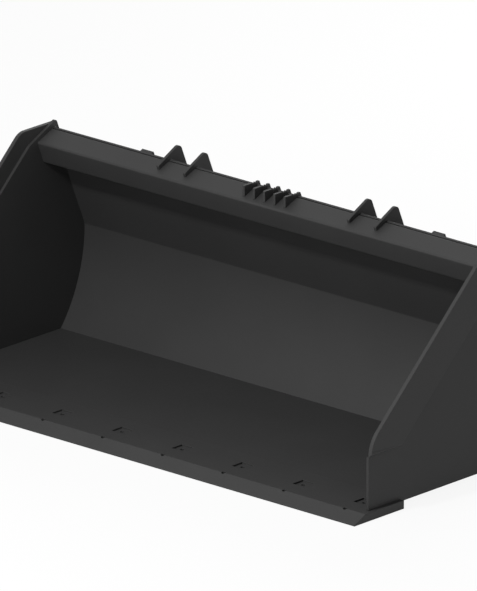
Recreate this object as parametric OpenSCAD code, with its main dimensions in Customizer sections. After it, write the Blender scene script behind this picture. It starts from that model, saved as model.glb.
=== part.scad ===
// Low profile loader bucket, a welded assembly of cut and formed plates.
// X runs across the bucket, +Y from the cutting edge back to the loader, +Z up.
// Outlines are drawn in the side view, with Y counted from the tip of the cutting edge.
// The origin is on the ground, in the middle of the width and of the depth.

/* [Cutting edge] */
// Width of the cutting edge, the widest piece of the bucket
edge_w = 1829; // [1500:1:2200]
// Depth of the cutting edge from its tip to its heel
edge_depth = 216; // [205:1:300]
// Thickness of the cutting edge
edge_t = 25.4; // [16:0.1:32]
// Run of the bevel on top of the tip
edge_bevel_run = 48; // [30:1:60]
// Height of the land left at the tip
edge_tip_t = 3; // [1:0.5:6]
// Distance from each end to the nearest bolt station
edge_end_margin = 80; // [60:1:120]
// Distance from the tip to the front row of bolt holes
edge_front_row = 50; // [40:1:60]
// Distance between the two rows of bolt holes
edge_row_gap = 83; // [60:1:95]
// Diameter of each bolt hole
edge_hole_d = 13.5; // [10:0.5:18]
// Side of the square pocket round each rear hole
pocket_w = 45; // [36:1:50]
// Depth of that pocket
pocket_depth = 5; // [2:0.5:8]

/* [Floor and back] */
// Thickness of the floor plate, which lies level with the top of the cutting edge
floor_t = 6.35; // [5:0.05:12]
// Thickness of the back sheet
back_t = 6.35; // [4:0.05:8]
// Depth of the rolled stretch, from its seam with the floor back to where it stands upright
roll_run = 105.4; // [80:0.1:150]
// Height of the crease between the rolled and the flat stretch of the back
crease_z = 330; // [280:1:400]
// Inside radius of that crease
crease_r = 18; // [8:1:40]
// Angle by which the upper back, the tube and the loader mount lean forward
lean = 22.5; // [15:0.5:30]

/* [Top tube] */
// Side of the square tube
tube_size = 76.2; // [60:0.1:90]
// Wall of the tube
tube_wall = 6.35; // [4:0.05:9]
// Outside radius of the tube's corners
tube_r = 6.5; // [6.4:0.1:14]
// Distance from the tip to the tube's front top corner
tube_y = 604; // [560:1:650]
// Height of that corner
tube_z = 631.6; // [600:0.1:660]

/* [Side plates] */
// Thickness of each side plate
side_t = 9.5; // [6:0.5:14]
// Distance from the tip to the side plate's upright front edge
side_front = 76; // [70:1:100]
// Distance from the cutter's sloped front to the side plate's own, square to it
side_setback = 52; // [30:1:90]
// Height of the side plate above the tube's front corner
side_over_tube = 11; // [5:1:20]
// Angle of the side plate's top edge above the floor
side_top_angle = 26.5; // [22:0.5:32]
// Margin of side plate behind the front face of the back sheet
side_behind = 22; // [14:0.5:60]
// Radius of the side plate's top corner in front of the tube
side_top_r = 20; // [5:1:40]
// Radius of the side plate's upper rear corner
side_rear_r = 8; // [4:1:12]

/* [Side cutters] */
// Thickness of each side cutter
cutter_t = 12.7; // [10:0.1:25]
// Width of the side cutter, square to its slope
cutter_w = 115; // [80:1:140]
// Distance from the tip to the cutter's upright front edge
cutter_front = 74; // [70:1:100]
// Height of the cutter's lower end
cutter_foot_z = 188; // [140:1:200]
// Height where the upright front edge would meet the slope
cutter_bend_z = 233; // [225:1:245]
// Angle of the sloped front edge above the floor
cutter_slope = 43.15; // [40:0.05:45]
// Angle of the bevel across the cutter's lower end
cutter_foot_angle = 45; // [20:1:60]
// Height of the cutter's top edge
cutter_top_z = 674; // [664:1:684]
// Radius between the upright edge and the slope
cutter_foot_r = 98; // [40:1:98]
// Radius between the slope and the top edge
cutter_top_r = 55; // [20:1:90]
// Radius of the cutter's rear top corner
cutter_rear_r = 6; // [2:1:12]

/* [Step plates] */
// Distance between step plates, centre to centre
step_pitch = 40.5; // [25:0.5:60]
// Thickness of each step plate
step_t = 8; // [5:0.5:12]
// Distance from the tube's front corner to the foot of each step plate
step_setback = 17.3; // [10:0.1:30]
// Height of the upright front edge of a step plate
step_h = 34; // [28:1:50]
// How far a step plate stands out behind the back sheet
step_overhang = 8.7; // [4:0.1:30]
// Length of the serrated stretch of the top edge
step_serrated = 27; // [15:1:40]
// Length of the plain land behind the teeth
step_land = 8; // [4:0.5:12]
// Depth of each tooth
tooth_h = 4; // [2:0.5:5]
// How far a step plate reaches down behind the tube
step_tail = 25; // [18:1:60]

/* [Gussets] */
// Thickness of each gusset
gusset_t = 9.5; // [6:0.5:14]
// Distance from the middle to each inner gusset
gusset_inner_x = 325; // [300:1:360]
// Distance from the middle to each outer gusset
gusset_outer_x = 430; // [400:1:450]
// Distance from the tube's front corner to the toe of each gusset
gusset_toe = 29.5; // [9:0.5:40]
// Height of that toe above the tube's top face
gusset_h = 13; // [8:0.5:30]
// Angle of a gusset's top edge above the floor
gusset_angle = 27; // [23:0.5:35]
// Radius of its peak
gusset_peak_r = 16; // [6:1:22]
// Radius over its toe
gusset_toe_r = 4; // [2:1:8]

/* [Loader mount] */
// Distance from the tube's rear face to the mount plates
mount_gap = 60.3; // [50:0.1:80]
// Thickness of the mount plates
mount_t = 9.5; // [8:0.5:12]
// Inside radius of the bends in the mount plates
mount_bend_r = 9.5; // [5:0.5:14]
// Distance from the tube's top face down to the top of the mount's flat face
mount_drop = 119; // [110:1:140]
// Length of the flat face between the bends
mount_flat = 380; // [340:1:400]
// Length of the hook above the flat face
hook_len = 38; // [25:1:50]
// Length of the flange below the flat face
flange_len = 62; // [50:1:75]
// Distance from the middle to the outer edge of each mount plate
mount_outer_x = 600; // [575:1:620]
// Distance from the middle to the inner edge of each mount plate
mount_inner_x = 300; // [270:1:310]
// Distance from the middle to the centre of each pin slot
slot_x = 520.5; // [500:0.5:530]
// Length of each pin slot across the bucket
slot_w = 64; // [40:1:70]
// Width of each pin slot
slot_h = 25; // [18:1:28]

/* [Uprights] */
// Width of each boxed upright
upright_w = 45; // [30:1:60]
// Wall of an upright
upright_wall = 6.35; // [4:0.05:8]
// How far the top of an upright lies below the tube's top face
upright_drop = 45; // [28:1:60]

/* [Wear bars] */
// Width of each wear bar
wear_w = 76; // [50:1:120]
// Distance from each side plate to the middle of the nearest wear bar
wear_margin = 172; // [80:1:300]
// Distance from the middle to each inner wear bar, as a share of the outer one's
wear_inner_share = 0.35; // [0.25:0.01:0.5]
// Distance from the seam to the rear end of each wear bar
wear_rear_gap = 12; // [0:1:60]
// Rise of the bevel at the rear end of each wear bar
wear_bevel = 12; // [4:1:15]

/* [Hidden] */
// Overrun of cuts past the faces that they open
over = 5;
// Chords in a small corner, in a bend and in the rolled back
corner_steps = 8;
bend_steps = 8;
roll_steps = 30;
$fn = 48;

edge_stations = 8;
step_count = 5;
tooth_count = 3;
// Share of a tooth's pitch taken by its gentle flank
tooth_flank_share = 0.7;
// Chords of the rolled back below the foot of the gussets and uprights
foot_chord = 10;
hook_turn = 135;
flange_turn = 45;

painted = "#333333";
painted_light = "#414141";
worn = "#4a4a4a";

// Cutting edge and floor
rear_row = edge_front_row + edge_row_gap;
station_pitch = (edge_w - 2 * edge_end_margin) / (edge_stations - 1);
floor_under = edge_t - floor_t;

// Planes across the bucket
side_outer = edge_w / 2 - cutter_t;
side_inner = side_outer - side_t;
wear_outer_x = side_inner - wear_margin;
wear_inner_x = wear_inner_share * wear_outer_x;

// Direction of a heading, unit vector, and the crossing of two lines
function dir(a) = [cos(a), sin(a)];
function unit(v) = v / norm(v);
function meet(p, a, q, b) = p + dir(a) * cross(q - p, dir(b)) / cross(dir(a), dir(b));

// A point of the side view given along the tube's top face and above it
function on_tube(u, v) = [tube_y, tube_z] + u * dir(lean) + v * dir(lean + 90);

// One rounded corner of an outline, and the outline with all its corners rounded
function round_corner(a, p, b, r) =
    r == 0 ? [p] :
    let (
        u = unit(a - p),
        w = unit(b - p),
        half = acos(u * w) / 2,
        centre = p + unit(u + w) * r / sin(half),
        first = p + u * r / tan(half) - centre,
        last = p + w * r / tan(half) - centre,
        turn = (180 - 2 * half) * sign(cross(first, last))
    )
    [for (k = [0:corner_steps])
        centre + r * dir(atan2(first[1], first[0]) + turn * k / corner_steps)];
function rounded(corners) =
    let (n = len(corners))
    [for (i = [0:n - 1])
        each round_corner(
            corners[(i + n - 1) % n][0], corners[i][0], corners[(i + 1) % n][0], corners[i][1]
        )];

// A sheet's face followed as runs of [straight, bend radius, turn, chords].
// Each stop on the way is [point, heading].
function bend(p, a, r, turn, steps) =
    let (
        side = sign(turn),
        centre = p + side * r * dir(a + 90)
    )
    [for (k = [0:steps])
        let (now = a + turn * k / steps)
        [centre - side * r * dir(now + 90), now]];
function follow(p, a, runs, i = 0) =
    i == len(runs) ? [] :
    let (
        q = p + runs[i][0] * dir(a),
        stops = runs[i][2] == 0 ? [[q, a]] : bend(q, a, runs[i][1], runs[i][2], runs[i][3]),
        last = stops[len(stops) - 1]
    )
    concat(stops, follow(last[0], last[1], runs, i + 1));
function turned(path) = [for (i = [len(path) - 1:-1:0]) [path[i][0], path[i][1] + 180]];
function near_face(path) = [for (stop = path) stop[0]];
function far_face(path, t) = [for (stop = path) stop[0] + t * dir(stop[1] - 90)];
function reversed(points) = [for (i = [len(points) - 1:-1:0]) points[i]];
function sheet(path, t) = concat(near_face(path), reversed(far_face(path, t)));

// Back sheet: the roll starts at the seam, ends upright under the crease, and the
// flat stretch above the crease lies on the tube's rear face
crease = meet(on_tube(tube_size, 0), lean + 90, [0, crease_z], 0);
crease_run = crease_r * tan(lean / 2);
roll_top = crease - [0, crease_run];
seam_y = roll_top[0] - roll_run;
seam = [seam_y, edge_t];
roll_span = roll_top - seam;
roll_turn = 2 * atan2(roll_span[0], roll_span[1]);
roll_r = roll_span[1] / sin(roll_turn);
roll_centre = roll_top - [roll_r, 0];
back_top = on_tube(tube_size, 0);
back_path = follow(seam, 90 - roll_turn, [
    [0, roll_r, roll_turn, roll_steps],
    [0, crease_r, lean, bend_steps],
    [norm(back_top - crease) - crease_run, 0, 0]
]);
back_rear = far_face(back_path, back_t);
// Point of the sheet's lower end that stands straight under the seam
back_heel = seam - [0, back_t / sin(roll_turn)];

// Mount plate: its flat face starts at mount_top and goes down
mount_u = tube_size + mount_gap;
mount_top = on_tube(mount_u, -mount_drop);
mount_outer_r = mount_bend_r + mount_t;
hook_path = follow(mount_top, lean + 90, [
    [0, mount_outer_r, -hook_turn, bend_steps],
    [hook_len, 0, 0]
]);
face_path = follow(mount_top, lean - 90, [
    [mount_flat, mount_outer_r, flange_turn, bend_steps],
    [flange_len, 0, 0]
]);
mount_path = concat(turned(hook_path), face_path);
mount_outline = sheet(mount_path, -mount_t);
flange_end = face_path[len(face_path) - 1];
slot_centre = flange_end[0] - (flange_len / 2) * dir(flange_end[1]);
bucket_depth = max([for (p = mount_outline) p[0]]);

// Rear edge of a gusset or upright, from its top down to the foot on the roll
mount_foot = mount_top - mount_flat * dir(lean + 90);
rear_foot = [for (i = [foot_chord:len(back_rear) - 1]) back_rear[i]];

// The whole bucket is drawn from the tip, then moved over its origin
module placed() {
    translate([0, -bucket_depth / 2, 0]) children();
}

// A side view outline given its width across the bucket, from x on
module across(x, w) {
    placed() translate([x, 0, 0]) rotate([90, 0, 90]) linear_extrude(w) children();
}

// The same piece on the left or the right
module on_side(side) {
    if (side < 0) mirror([1, 0, 0]) children();
    else children();
}

module cutting_edge() {
    color(worn) difference() {
        across(-edge_w / 2, edge_w) polygon([
            [0, 0],
            [edge_depth, 0],
            [edge_depth, edge_t],
            [edge_bevel_run, edge_t],
            [0, edge_tip_t]
        ]);
        for (i = [0:edge_stations - 1]) {
            x = (i - (edge_stations - 1) / 2) * station_pitch;
            for (y = [edge_front_row, rear_row]) {
                placed() translate([x, y, -over]) cylinder(d = edge_hole_d, h = edge_t + 2 * over);
            }
            placed() translate([x - pocket_w / 2, rear_row - pocket_w / 2, edge_t - pocket_depth])
                cube([pocket_w, pocket_w, pocket_depth + over]);
        }
    }
}

module floor_plate() {
    color(painted) across(-side_outer, 2 * side_outer) polygon([
        [edge_depth, floor_under],
        [seam_y, floor_under],
        [seam_y, edge_t],
        [edge_depth, edge_t]
    ]);
}

module back_sheet() {
    color(painted) across(-side_inner, 2 * side_inner)
        polygon(concat(near_face(back_path), reversed(back_rear), [back_heel]));
}

// A square of the tube's section, shrunk by inset on every side
module tube_section(inset, r) {
    polygon(rounded([for (corner = [
        [inset, -inset],
        [tube_size - inset, -inset],
        [tube_size - inset, inset - tube_size],
        [inset, inset - tube_size]
    ]) [on_tube(corner[0], corner[1]), r]]));
}

module top_tube() {
    color(painted_light) difference() {
        across(-side_inner, 2 * side_inner) tube_section(0, tube_r);
        across(-side_inner - over, 2 * (side_inner + over))
            tube_section(tube_wall, max(tube_r - tube_wall, 0));
    }
}

// Lines that shape the ends: the cutter's slope and its two parallels, the line over
// the tube and the line behind the back sheet
slope_foot = [cutter_front, cutter_bend_z];
setback_foot = slope_foot + side_setback * dir(cutter_slope - 90);
width_foot = slope_foot + cutter_w * dir(cutter_slope - 90);
over_tube = on_tube(0, side_over_tube);
behind_back = on_tube(tube_size + side_behind, 0);
under_r = roll_r + side_behind;
under_turn = asin((roll_centre[1] - edge_t) / under_r);

module side_plate(side) {
    color(painted) on_side(side) across(side_inner, side_t) polygon(rounded(concat(
        [
            [[side_front, edge_t], 0],
            [[side_front, cutter_foot_z], 0],
            [meet(setback_foot, cutter_slope, [0, cutter_foot_z], 0), 0],
            [meet(setback_foot, cutter_slope, over_tube, side_top_angle), side_top_r],
            [meet(over_tube, side_top_angle, behind_back, lean + 90), side_rear_r],
            [meet(behind_back, lean + 90, roll_centre + [under_r, 0], 90), crease_r + side_behind]
        ],
        [for (k = [1:roll_steps])
            [roll_centre + under_r * dir(-under_turn * k / roll_steps), 0]]
    )));
}

module side_cutter(side) {
    color(painted_light) on_side(side) difference() {
        across(side_outer, cutter_t) polygon(rounded([
            [[cutter_front, cutter_foot_z], 0],
            [slope_foot, cutter_foot_r],
            [meet(slope_foot, cutter_slope, [0, cutter_top_z], 0), cutter_top_r],
            [meet(width_foot, cutter_slope, [0, cutter_top_z], 0), cutter_rear_r],
            [meet(width_foot, cutter_slope, [0, cutter_foot_z], 0), 0]
        ]));
        placed() translate([side_outer, 0, cutter_foot_z]) rotate([0, -cutter_foot_angle, 0])
            translate([0, 0, -cutter_t]) cube([2 * cutter_t, bucket_depth, cutter_t]);
    }
}

step_foot = on_tube(step_setback, 0);
step_front = step_foot + [0, step_h];
back_rear_u = tube_size + back_t;
step_rear = meet(step_front, 0, on_tube(back_rear_u + step_overhang, 0), lean + 90);
tooth_start = step_rear[0] - step_front[0] - step_land - step_serrated;
// Top edge of a step plate, as distances along it and down from it: three teeth, each
// with a gentle flank and a steep one, then a plain land
tooth_pitch = step_serrated / tooth_count;
step_teeth = [for (i = [0:tooth_count - 1]) each [
    [tooth_start + i * tooth_pitch, 0],
    [tooth_start + (i + tooth_flank_share) * tooth_pitch, -tooth_h]
]];
// Where the line down from the step's rear corner crosses the level of a given v
function below_step(v) = meet(step_rear, lean - 90, on_tube(0, v), lean);

module step_plate(i) {
    x = (i - (step_count + 1) / 2) * step_pitch;
    color(painted_light) across(x - step_t / 2, step_t) polygon(concat(
        [step_foot, step_front],
        [for (p = step_teeth) step_front + p],
        [
            step_rear - [step_land, 0],
            step_rear,
            below_step(-step_tail),
            on_tube(back_rear_u, -step_tail),
            on_tube(back_rear_u, 0)
        ]
    ));
}

module gusset(x) {
    toe = on_tube(gusset_toe, gusset_h);
    color(painted) across(x - gusset_t / 2, gusset_t) polygon(rounded(concat(
        [
            [on_tube(gusset_toe, 0), 0],
            [toe, gusset_toe_r],
            [meet(toe, gusset_angle, mount_top, lean + 90), gusset_peak_r],
            [mount_foot, 0]
        ],
        [for (p = rear_foot) [p, 0]]
    )));
}

module mount_upright(side) {
    inner_x = mount_outer_x - upright_w;
    top_v = -upright_drop;
    roof_v = top_v - upright_wall;
    wall_u = mount_u - upright_wall;
    color(painted) on_side(side) difference() {
        across(inner_x, upright_w) polygon(concat(
            [
                on_tube(back_rear_u, top_v),
                on_tube(mount_u, top_v),
                mount_foot
            ],
            [for (i = [0:len(rear_foot) - 2]) rear_foot[i]]
        ));
        across(inner_x + upright_wall, upright_w - 2 * upright_wall) polygon([
            on_tube(tube_size, roof_v),
            on_tube(wall_u, roof_v),
            on_tube(wall_u, -mount_drop - mount_flat - over),
            rear_foot[0] - [0, over],
            roll_centre
        ]);
    }
}

module pin_slot() {
    straight = (slot_w - slot_h) / 2;
    reach = mount_t + 2 * over;
    placed() translate([slot_x, slot_centre[0], slot_centre[1]]) rotate([flange_end[1], 0, 0])
        translate([0, 0, -over]) {
            translate([-straight, -slot_h / 2, 0]) cube([2 * straight, slot_h, reach]);
            for (x = [-straight, straight]) translate([x, 0, 0]) cylinder(d = slot_h, h = reach);
        }
}

module mount_plate(side) {
    color(painted) on_side(side) difference() {
        across(mount_inner_x, mount_outer_x - mount_inner_x) polygon(mount_outline);
        pin_slot();
    }
}

module wear_bar(x) {
    rear = seam_y - wear_rear_gap;
    color(worn) across(x - wear_w / 2, wear_w) polygon([
        [edge_depth, 0],
        [rear - wear_bevel, 0],
        [rear, wear_bevel],
        [rear, floor_under],
        [edge_depth, floor_under]
    ]);
}

cutting_edge();
floor_plate();
back_sheet();
top_tube();
side_plate(-1);  // side_plate_left
side_plate(1);  // side_plate_right
side_cutter(-1);  // side_cutter_left
side_cutter(1);  // side_cutter_right
step_plate(1);  // step_plate_1
step_plate(2);  // step_plate_2
step_plate(3);  // step_plate_3
step_plate(4);  // step_plate_4
step_plate(5);  // step_plate_5
gusset(-gusset_outer_x);  // gusset_1
gusset(-gusset_inner_x);  // gusset_2
gusset(gusset_inner_x);  // gusset_3
gusset(gusset_outer_x);  // gusset_4
mount_upright(-1);  // mount_upright_left
mount_upright(1);  // mount_upright_right
mount_plate(-1);  // mount_plate_left
mount_plate(1);  // mount_plate_right
wear_bar(-wear_outer_x);  // wear_bar_1
wear_bar(-wear_inner_x);  // wear_bar_2
wear_bar(wear_inner_x);  // wear_bar_3
wear_bar(wear_outer_x);  // wear_bar_4
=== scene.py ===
import math

import bpy
from mathutils import Matrix, Vector


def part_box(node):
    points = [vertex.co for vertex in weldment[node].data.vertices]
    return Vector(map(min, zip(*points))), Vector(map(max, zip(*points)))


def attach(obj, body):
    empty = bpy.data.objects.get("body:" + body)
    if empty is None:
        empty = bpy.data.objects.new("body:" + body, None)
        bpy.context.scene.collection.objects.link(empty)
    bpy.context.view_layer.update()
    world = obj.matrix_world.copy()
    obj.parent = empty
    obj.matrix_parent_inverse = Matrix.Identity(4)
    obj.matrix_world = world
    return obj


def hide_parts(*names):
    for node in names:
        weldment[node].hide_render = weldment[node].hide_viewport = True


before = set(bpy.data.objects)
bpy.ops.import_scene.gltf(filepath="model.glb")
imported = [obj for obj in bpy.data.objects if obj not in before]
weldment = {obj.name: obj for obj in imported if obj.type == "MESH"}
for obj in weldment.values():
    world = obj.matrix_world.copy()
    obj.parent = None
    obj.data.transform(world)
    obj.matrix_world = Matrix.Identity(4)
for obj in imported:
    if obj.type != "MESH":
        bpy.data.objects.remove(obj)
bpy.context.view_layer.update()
bpy.ops.object.select_all(action="DESELECT")

# Cutting edge.
# A thick flat bar of hardened steel with a ground bevel, drilled for bolt-on edges and butted
# against the floor, level with it. It is sprayed black with the rest.


def linear(hex_colour):
    """An sRGB hex colour as the linear values that a shader takes."""
    channels = [int(hex_colour[i:i + 2], 16) / 255 for i in (1, 3, 5)]
    return [c / 12.92 if c <= 0.04045 else ((c + 0.055) / 1.055) ** 2.4 for c in channels] + [1.0]


def add(material, kind, settings=None, **links):
    """Adds one node with its settings, and links its inputs to other nodes' outputs."""
    node = material.node_tree.nodes.new(kind)
    for name, value in (settings or {}).items():
        if hasattr(node, name):
            setattr(node, name, value)
        else:
            node.inputs[name].default_value = value
    for name, output in links.items():
        material.node_tree.links.new(node.inputs[name.replace("_", " ")], output)
    return node


# The gun's passes lie about 220 mm apart. Orange peel is 1 to 2 mm across on the real film, and
# it is drawn at 7 mm so that it shows.
SPRAY_PASS_MM = 220
PEEL_MM = 7
PEEL_DEPTH_MM = 1


def black_enamel(name, dark, light, gloss_low, gloss_high, edge_mm=1.5):
    """Black satin enamel, sprayed on blasted plate: a soft sheen, and light on the cut edges."""
    paint = bpy.data.materials.new(name)
    paint.use_nodes = True
    paint.node_tree.nodes.clear()
    place = add(paint, "ShaderNodeTexCoord")
    passes = add(paint, "ShaderNodeTexNoise", {"Scale": 1000 / SPRAY_PASS_MM, "Detail": 2.0},
                 Vector=place.outputs["Object"])
    grey = add(paint, "ShaderNodeMix", {"data_type": "RGBA"})
    grey.inputs["A"].default_value = linear(dark)
    grey.inputs["B"].default_value = linear(light)
    paint.node_tree.links.new(grey.inputs["Factor"], passes.outputs["Fac"])
    peel = add(paint, "ShaderNodeTexNoise", {"Scale": 1000 / PEEL_MM, "Detail": 3.0},
               Vector=place.outputs["Object"])
    gloss = add(paint, "ShaderNodeMapRange", {"To Min": gloss_low, "To Max": gloss_high},
                Value=peel.outputs["Fac"])
    round_edge = add(paint, "ShaderNodeBevel", {"samples": 6, "Radius": edge_mm / 1000})
    skin = add(paint, "ShaderNodeBump", {"Strength": 0.05, "Distance": PEEL_DEPTH_MM / 1000},
               Height=peel.outputs["Fac"], Normal=round_edge.outputs["Normal"])
    film = add(paint, "ShaderNodeBsdfPrincipled", {"IOR": 1.5, "Specular IOR Level": 0.2},
               Base_Color=grey.outputs["Result"], Roughness=gloss.outputs["Result"],
               Normal=skin.outputs["Normal"])
    add(paint, "ShaderNodeOutputMaterial", Surface=film.outputs["BSDF"])
    return paint


def paint_nodes(paint, *names):
    """Gives CAD nodes their finish."""
    for name in names:
        for socket in weldment[name].material_slots:
            socket.material = paint


edge_enamel = black_enamel("black_enamel_on_edge_bar", "#2a2a2a", "#2f2f2f",
                           gloss_low=0.45, gloss_high=0.55)
paint_nodes(edge_enamel, "cutting_edge")

# Floor.
# Flat mild steel plate, butted against the cutting edge and sprayed with the shell. Its film is
# whole, with no wear from digging.
shell_enamel = black_enamel("black_enamel_on_shell_plate", "#292929", "#2e2e2e",
                            gloss_low=0.48, gloss_high=0.58)
paint_nodes(shell_enamel, "floor_plate")

# Rolled back.
# Sheet creased and rolled in a press, so the roll is one smooth curve. Its node is a mesh of
# loose triangles: a copy of it is closed up and shaded smooth over the bends.
JOIN = 0.00001  # corners nearer than this are one


def formed(node, finish, widest=26):
    """A node's own shape closed up, with bends shaded smooth up to a widest angle a step."""
    bpy.ops.object.select_all(action="DESELECT")
    shape = bpy.data.objects.new(node + "_formed", weldment[node].data.copy())
    bpy.context.collection.objects.link(shape)
    shape.select_set(True)
    bpy.context.view_layer.objects.active = shape
    bpy.ops.object.mode_set(mode="EDIT")
    bpy.ops.mesh.select_all(action="SELECT")
    bpy.ops.mesh.remove_doubles(threshold=JOIN)
    bpy.ops.object.mode_set(mode="OBJECT")
    bpy.ops.object.shade_smooth_by_angle(angle=math.radians(widest))
    shape.data.materials.clear()
    shape.data.materials.append(finish)
    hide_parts(node)
    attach(shape, "root")


formed("back_sheet", shell_enamel)

# Top tube.
# A square structural tube, turned so that its top sheds dirt, with the mill's small corners.
formed("top_tube", shell_enamel)

# Side plates.
# The two ends of the bucket, cut from plate. Each stands on the floor and is welded to the back
# sheet from behind, with a bead that follows the roll.
bead_enamel = black_enamel("black_enamel_on_weld_bead", "#292929", "#2f2f2f",
                           gloss_low=0.42, gloss_high=0.52, edge_mm=0.5)
BEAD = 0.0045  # half the width of a bead
RIPPLE = 0.0042  # from one ripple to the next
TAIL = 0.7  # a ripple's trailing half, as a share of its leading one
AROUND = 8  # faces around a ripple
ALONG = 5  # rings of faces along it
LEAN = math.radians(22.5)  # of the upper back, forward from upright
SHEET = 0.00635  # thickness of the back
ROLL_RUN = 0.1054  # depth of the roll, from the floor back to where it stands upright
CREASE_Z = 0.330  # height of the crease above the roll
CREASE_R = 0.018  # inside radius of the crease
STRAIGHTS = 6  # straight lengths of bead along the roll

# the rear face of the back in the side view, as y and z: an arc that leaves the floor and ends
# upright, the crease, and a flat stretch that leans forward up to the top
rear_y, top_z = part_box("back_sheet")[1].yz
upright_z = CREASE_Z - CREASE_R * math.tan(LEAN / 2)
rise = upright_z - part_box("floor_plate")[1].z
roll_turn = 2 * math.atan2(ROLL_RUN, rise)
rear_r = rise / math.sin(roll_turn) + SHEET
roll = []
for n in range(STRAIGHTS + 1):
    below = roll_turn * (1 - n / STRAIGHTS)
    roll.append(Vector((rear_y - rear_r * (1 - math.cos(below)),
                        upright_z - rear_r * math.sin(below))))
bend_z = CREASE_Z + SHEET * math.tan(LEAN / 2)
sheet_top = Vector((rear_y - (top_z - bend_z) * math.tan(LEAN), top_z))
down = Vector((math.sin(LEAN), -math.cos(LEAN)))
crease = sheet_top + down * (top_z - CREASE_Z) / math.cos(LEAN)


def bead(name, runs, stop_short=0.004):
    """A fillet bead: rows of flattened ripples, one row for each straight run."""
    rows = []
    for first, last in runs:
        first, last = Vector(first), Vector(last)
        way = last - first
        reach = way.length - 2 * stop_short
        turn = way.to_track_quat("Z", "Y").to_euler()
        bpy.ops.object.select_all(action="DESELECT")
        bpy.ops.mesh.primitive_uv_sphere_add(
            segments=AROUND, ring_count=ALONG, radius=BEAD,
            location=first + way.normalized() * stop_short, rotation=turn)
        row = bpy.context.object
        # a ripple's trailing half is drawn narrow, because the next ripple lies over it
        bpy.ops.object.mode_set(mode="EDIT")
        bpy.ops.mesh.select_all(action="DESELECT")
        bpy.ops.object.mode_set(mode="OBJECT")
        for corner in row.data.vertices:
            corner.select = corner.co.z < 0
        bpy.ops.object.mode_set(mode="EDIT")
        bpy.ops.transform.resize(value=(TAIL, TAIL, TAIL), orient_type="LOCAL")
        bpy.ops.object.mode_set(mode="OBJECT")
        bpy.ops.object.transform_apply(location=False, rotation=True, scale=True)
        array = row.modifiers.new("ripples", "ARRAY")
        array.count = max(2, int(reach / RIPPLE))
        array.use_relative_offset = False
        array.use_constant_offset = True
        array.constant_offset_displace = way.normalized() * (reach / (array.count - 1))
        bpy.ops.object.modifier_apply(modifier="ripples")
        bpy.ops.object.transform_apply(location=True, rotation=False, scale=False)
        rows.append(row)
    bpy.ops.object.select_all(action="DESELECT")
    for row in rows:
        row.select_set(True)
    bpy.context.view_layer.objects.active = rows[0]
    if len(rows) > 1:
        bpy.ops.object.join()
    laid = bpy.context.object
    laid.name = name
    bpy.ops.object.shade_smooth()
    laid.data.materials.clear()
    laid.data.materials.append(bead_enamel)
    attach(laid, "root")
    return laid


def another(laid, name, shift):
    """The same bead once more, moved across the bucket."""
    bpy.ops.object.select_all(action="DESELECT")
    laid.select_set(True)
    bpy.context.view_layer.objects.active = laid
    bpy.ops.object.duplicate()
    twin = bpy.context.object
    twin.name = name
    bpy.ops.transform.translate(value=(shift, 0, 0))
    bpy.ops.object.transform_apply(location=True, rotation=False, scale=False)
    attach(twin, "root")


def chain(x, corners):
    """Straight runs from corner to corner of the side view, at one place across the bucket."""
    return [((x, *p), (x, *q)) for p, q in zip(corners, corners[1:])]


def faces(node):
    """The places across the bucket of a node's left and right faces."""
    low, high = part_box(node)
    return {"left": low.x, "right": high.x}


for side in ("left", "right"):
    formed("side_plate_" + side, shell_enamel)
plate_inner = faces("side_plate_left")["right"]
plate_bead = bead("weld_side_plate_left", chain(plate_inner, roll + [crease, sheet_top]))
another(plate_bead, "weld_side_plate_right", -2 * plate_inner)

# Side cutters.
# Thick strips of harder steel, bevelled across the foot and set on the outside of each side
# plate, along its front edge.
for side in ("left", "right"):
    formed("side_cutter_" + side, edge_enamel)

# Foot step.
# Five serrated plates side by side across the tube, for a boot to grip. They are cut from plate,
# sit on the tube's top face and hook over its rear edge.
STEPS = 5
paint_nodes(shell_enamel, *["step_plate_%d" % n for n in range(1, STEPS + 1)])

# Gussets.
# Four plates that ride over the tube and run down the back. Beads hold them to the back sheet
# and to the mount on both faces.
GUSSETS = 4
FOOT = 2  # straight lengths of the roll below the gussets
MOUNT_BEHIND = 0.05395  # from the back sheet to the mount
MOUNT_DROP = 0.119  # from the top of the back down to the mount's flat face
MOUNT_FLAT = 0.380  # length of that face
for n in range(1, GUSSETS + 1):
    formed("gusset_%d" % n, shell_enamel)
rearward = Vector((math.cos(LEAN), math.sin(LEAN)))
mount_top = sheet_top + MOUNT_BEHIND * rearward + MOUNT_DROP * down
mount_face = [mount_top, mount_top + MOUNT_FLAT * down]
lower_back = roll[FOOT:] + [crease]
first_face = faces("gusset_1")["left"]
gusset_bead = bead("weld_gusset_1_left",
                   chain(first_face, lower_back + [sheet_top]) + chain(first_face, mount_face))
for n in range(1, GUSSETS + 1):
    for side, x in faces("gusset_%d" % n).items():
        if (n, side) != (1, "left"):
            another(gusset_bead, "weld_gusset_%d_%s" % (n, side), x - first_face)

# Uprights and loader mount.
# Boxed uprights close the outer ends of the mount. The mount itself is thick plate, bent to a
# hook at the top and a flange below, with a slot for the loader's pin.
for side in ("left", "right"):
    formed("mount_upright_" + side, shell_enamel)
    formed("mount_plate_" + side, shell_enamel)
UPRIGHT_DROP = 0.045  # from the top of the back down to the top of an upright
rear_corners = lower_back + [sheet_top + UPRIGHT_DROP * down]
outer = faces("mount_upright_left")["left"]
inner = faces("mount_upright_left")["right"]
outer_bead = bead("weld_upright_left_outer", chain(outer, rear_corners))
another(outer_bead, "weld_upright_right_outer", -2 * outer)
inner_bead = bead("weld_upright_left_inner",
                  chain(inner, rear_corners) + chain(inner, mount_face))
another(inner_bead, "weld_upright_right_inner", -2 * inner)

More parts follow.
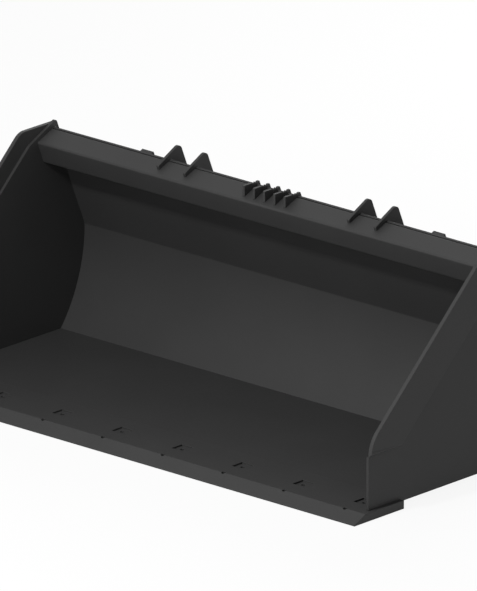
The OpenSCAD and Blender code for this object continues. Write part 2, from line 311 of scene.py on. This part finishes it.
# Wear bars.
# Flat bars of the edge's harder steel under the floor. They end level with the edge and have a
# bead along both sides.
BARS = 4
paint_nodes(edge_enamel, *["wear_bar_%d" % n for n in range(1, BARS + 1)])
under_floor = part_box("floor_plate")[0].z
bar_low, bar_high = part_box("wear_bar_1")
bar_side = [(bar_low.y, under_floor), (bar_high.y, under_floor)]
bar_bead = bead("weld_wear_bar_1_left", chain(bar_low.x, bar_side))
for n in range(1, BARS + 1):
    for side, x in faces("wear_bar_%d" % n).items():
        if (n, side) != (1, "left"):
            another(bar_bead, "weld_wear_bar_%d_%s" % (n, side), x - bar_low.x)

# Floor of the studio.
# A plain pale sheet that keeps the bucket's shadow and runs out to white.
PAPER = 40  # side of the sheet
GLOW = 0.92  # share of its own light where the camera or a reflection sees it
bpy.ops.mesh.primitive_plane_add(size=PAPER, location=(0, 0, 0))
ground = bpy.context.object
ground.name = "studio_floor"
white_paper = bpy.data.materials.new("white_paper")
white_paper.use_nodes = True
white_paper.node_tree.nodes.clear()
ray = add(white_paper, "ShaderNodeLightPath")
seen = add(white_paper, "ShaderNodeMath", {"operation": "MAXIMUM"})
white_paper.node_tree.links.new(seen.inputs[0], ray.outputs["Is Camera Ray"])
white_paper.node_tree.links.new(seen.inputs[1], ray.outputs["Is Glossy Ray"])
share = add(white_paper, "ShaderNodeMath", {"operation": "MULTIPLY"})
white_paper.node_tree.links.new(share.inputs[0], seen.outputs["Value"])
share.inputs[1].default_value = GLOW
matt = add(white_paper, "ShaderNodeBsdfDiffuse", {"Color": linear("#e6e6e6")})
glow = add(white_paper, "ShaderNodeEmission", {"Color": linear("#fdfdfd"), "Strength": 1.0})
blend = add(white_paper, "ShaderNodeMixShader")
white_paper.node_tree.links.new(blend.inputs[0], share.outputs["Value"])
white_paper.node_tree.links.new(blend.inputs[1], matt.outputs["BSDF"])
white_paper.node_tree.links.new(blend.inputs[2], glow.outputs["Emission"])
add(white_paper, "ShaderNodeOutputMaterial", Surface=blend.outputs["Shader"])
ground.data.materials.append(white_paper)

# Studio light.
# A small soft box high in front draws the tube's shadow on the back. Others low in front, above
# the mouth and behind fill the rest, and the room is pale.
ROOM_LIGHT = 0.37  # what the room gives the bucket; the camera and reflections see it at 1
MIDDLE = Vector((0, 0, 0.3))  # of the bucket, where the lamps are aimed
room = bpy.data.worlds.new("pale_room")
bpy.context.scene.world = room
room.use_nodes = True
room.node_tree.nodes.clear()
ray = add(room, "ShaderNodeLightPath")
mirrored = add(room, "ShaderNodeMath", {"operation": "MAXIMUM"})
room.node_tree.links.new(mirrored.inputs[0], ray.outputs["Is Glossy Ray"])
room.node_tree.links.new(mirrored.inputs[1], ray.outputs["Is Transmission Ray"])
seen = add(room, "ShaderNodeMath", {"operation": "MAXIMUM"})
room.node_tree.links.new(seen.inputs[0], ray.outputs["Is Camera Ray"])
room.node_tree.links.new(seen.inputs[1], mirrored.outputs["Value"])
level = add(room, "ShaderNodeMapRange", {"To Min": ROOM_LIGHT, "To Max": 1.0},
            Value=seen.outputs["Value"])
air = add(room, "ShaderNodeBackground", {"Color": linear("#fdfdfd")},
          Strength=level.outputs["Result"])
add(room, "ShaderNodeOutputWorld", Surface=air.outputs["Background"])


def soft_box(name, place, size, power):
    """A square lamp with a diffuser, turned to the bucket's middle."""
    bpy.ops.object.light_add(type="AREA", location=place)
    lamp = bpy.context.object
    lamp.name = name
    lamp.data.size = size
    lamp.data.energy = power
    lamp.rotation_euler = (Vector(place) - MIDDLE).to_track_quat("Z", "Y").to_euler()


soft_box("high_box", (0.2, -4.3, 4.2), size=0.5, power=236)
soft_box("low_box", (0.5, -5.2, 1.6), size=0.9, power=61)
soft_box("overhead_box", (0.0, -2.2, 4.8), size=2.5, power=40)
soft_box("rear_box", (-1.0, 4.8, 3.0), size=2.0, power=200)

# Camera.
# It stands far off with a long lens, because the photograph has next to no perspective.
AZIMUTH = math.radians(42.119)  # to the right of straight in front
ELEVATION = math.radians(18.401)  # above the ground
TILT = math.radians(0.069)  # of the picture, about its own middle
PICTURE_MIDDLE = (0.00106, 0.01146, 0.3771)  # the point that the camera looks at
HALF_PICTURE = 0.86909  # from the picture's middle to its top edge, at the bucket
LENS_MM = 1250
SENSOR_MM = 36
SIGHT = 500  # how far the camera sees
bpy.ops.object.camera_add()
camera = bpy.context.object
camera.name = "photo_camera"
camera.data.lens = LENS_MM
camera.data.sensor_width = SENSOR_MM
camera.data.clip_end = SIGHT
distance = HALF_PICTURE * LENS_MM / (SENSOR_MM / 2)
turn = (Matrix.Rotation(AZIMUTH, 4, "Z") @ Matrix.Rotation(math.pi / 2 - ELEVATION, 4, "X")
        @ Matrix.Rotation(TILT, 4, "Z"))
camera.matrix_world = (Matrix.Translation(PICTURE_MIDDLE) @ turn
                       @ Matrix.Translation((0, 0, distance)))
bpy.context.scene.camera = camera

bpy.context.scene.view_settings.view_transform = "Standard"
